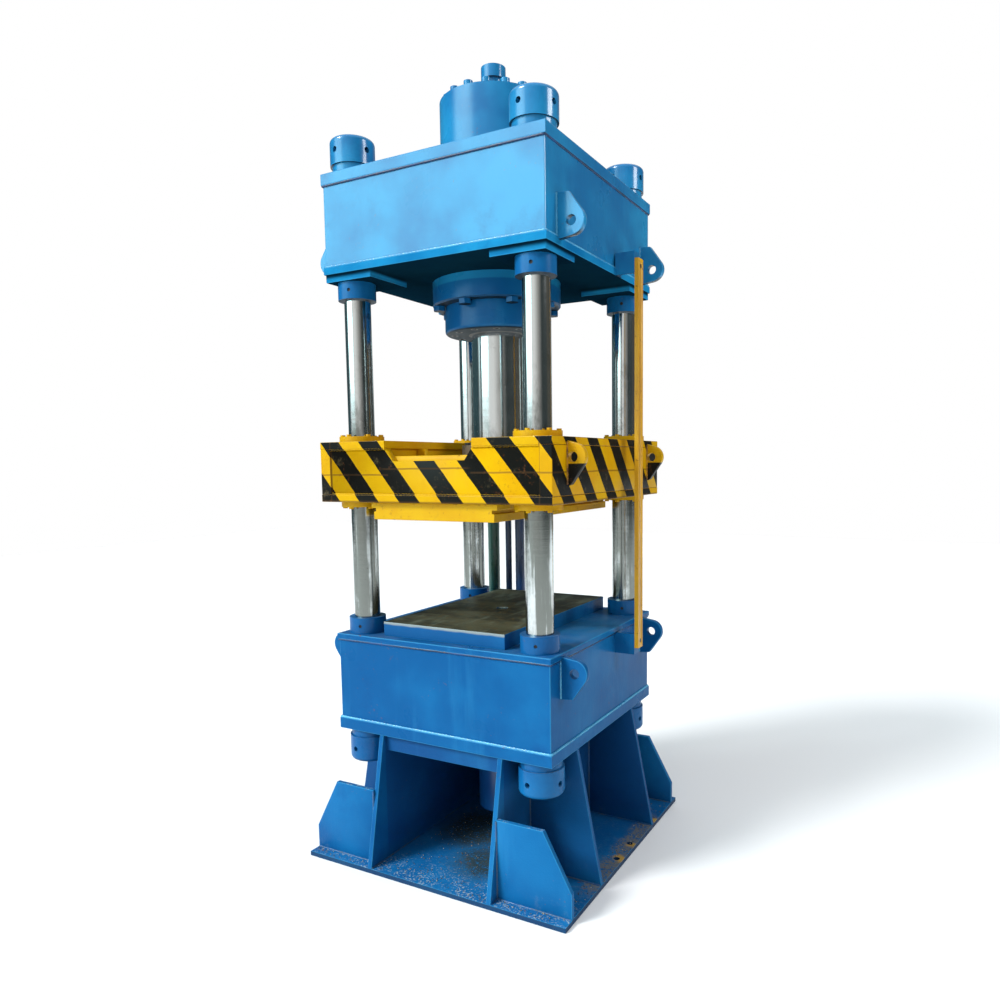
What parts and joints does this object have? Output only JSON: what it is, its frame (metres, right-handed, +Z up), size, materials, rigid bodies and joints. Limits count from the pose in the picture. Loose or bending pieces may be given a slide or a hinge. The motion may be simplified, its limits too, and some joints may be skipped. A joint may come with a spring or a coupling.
{
  "type": "hydraulic press",
  "caption": "Upright four-column hydraulic press with a welded bed and crown, a guided striped platen on a ram, and an ejector in the bed.",
  "frame": {"origin": "middle of the base plate's underside, on the floor", "axes": "+Z up along the ram, -Y towards the operator at the front, +X to the operator's right"},
  "size_m": [1.2, 1.2, 3.26],
  "materials": {
    "blue_enamel": "glossy blue enamel with cloudy sheen, dust on level faces and rust chips",
    "yellow_enamel": "glossy yellow enamel with black slanted stripes, brown seams and chips",
    "chrome": "ground and hard chromed, thin oil film",
    "worn_steel": "bare machined steel with brown rust film",
    "bolt_steel": "blackened bolts",
    "bronze": "turned bearing bronze",
    "seal_rubber": "oiled black rubber"
  },
  "bodies": {
    "frame": {"base_plate": "blue_enamel", "pedestal_rib_left": "blue_enamel", "pedestal_rib_right": "blue_enamel", "pedestal_cross_ribs": "blue_enamel", "pedestal_back_web": "blue_enamel", "pedestal_gussets": "blue_enamel", "pedestal_headers": "blue_enamel", "bed_box": "blue_enamel", "bed_bottom_plate": "blue_enamel", "bed_top_plate": "blue_enamel", "bed_lugs": "blue_enamel", "crown_box": "blue_enamel", "crown_bottom_plate": "blue_enamel", "crown_top_plate": "blue_enamel", "crown_lugs": "blue_enamel", "column_nuts": "blue_enamel", "column_washers": "blue_enamel", "column_collars": "blue_enamel", "cylinder_barrel": "blue_enamel", "gland": "blue_enamel", "cylinder_cover": "blue_enamel", "port_fitting": "blue_enamel", "ejector_barrel": "blue_enamel", "suction_pipe": "blue_enamel", "pilot_pipe": "blue_enamel", "return_pipe": "blue_enamel", "pipe_clamps": "blue_enamel", "rail_brackets": "blue_enamel", "flange_bolts": "blue_enamel", "cover_bolts": "blue_enamel", "ejector_bolts": "blue_enamel", "switch_rail": "yellow_enamel", "column_front_left": "chrome", "column_front_right": "chrome", "column_back_left": "chrome", "column_back_right": "chrome", "bolster": "worn_steel", "gland_screws": "bolt_steel", "bolster_bolts": "bolt_steel", "collar_screws": "bolt_steel", "rail_screws": "bolt_steel", "rod_bush": "bronze", "rod_seal": "seal_rubber", "rod_wiper": "seal_rubber", "cover_seal": "seal_rubber"},
    "platen": {"platen_box": "yellow_enamel", "platen_top_plates": "yellow_enamel", "platen_bottom_plate": "yellow_enamel", "platen_lugs": "yellow_enamel", "guide_bushes": "bronze", "guide_flanges": "yellow_enamel", "guide_bolts": "yellow_enamel", "adapter_plate": "yellow_enamel", "adapter_bolts": "bolt_steel", "ram": "chrome", "piston_seals": "seal_rubber", "ram_flange": "worn_steel", "ram_flange_bolts": "bolt_steel"},
    "ejector": {"ejector_rod": "chrome"}
  },
  "joints": [
    {"name": "platen_slide", "type": "slide", "parent": "frame", "child": "platen", "axis": [0, 0, 1], "range_m": [-0.25, 0.35]},
    {"name": "ejector_slide", "type": "slide", "parent": "frame", "child": "ejector", "axis": [0, 0, 1], "range_m": [0, 0.15]}
  ]
}
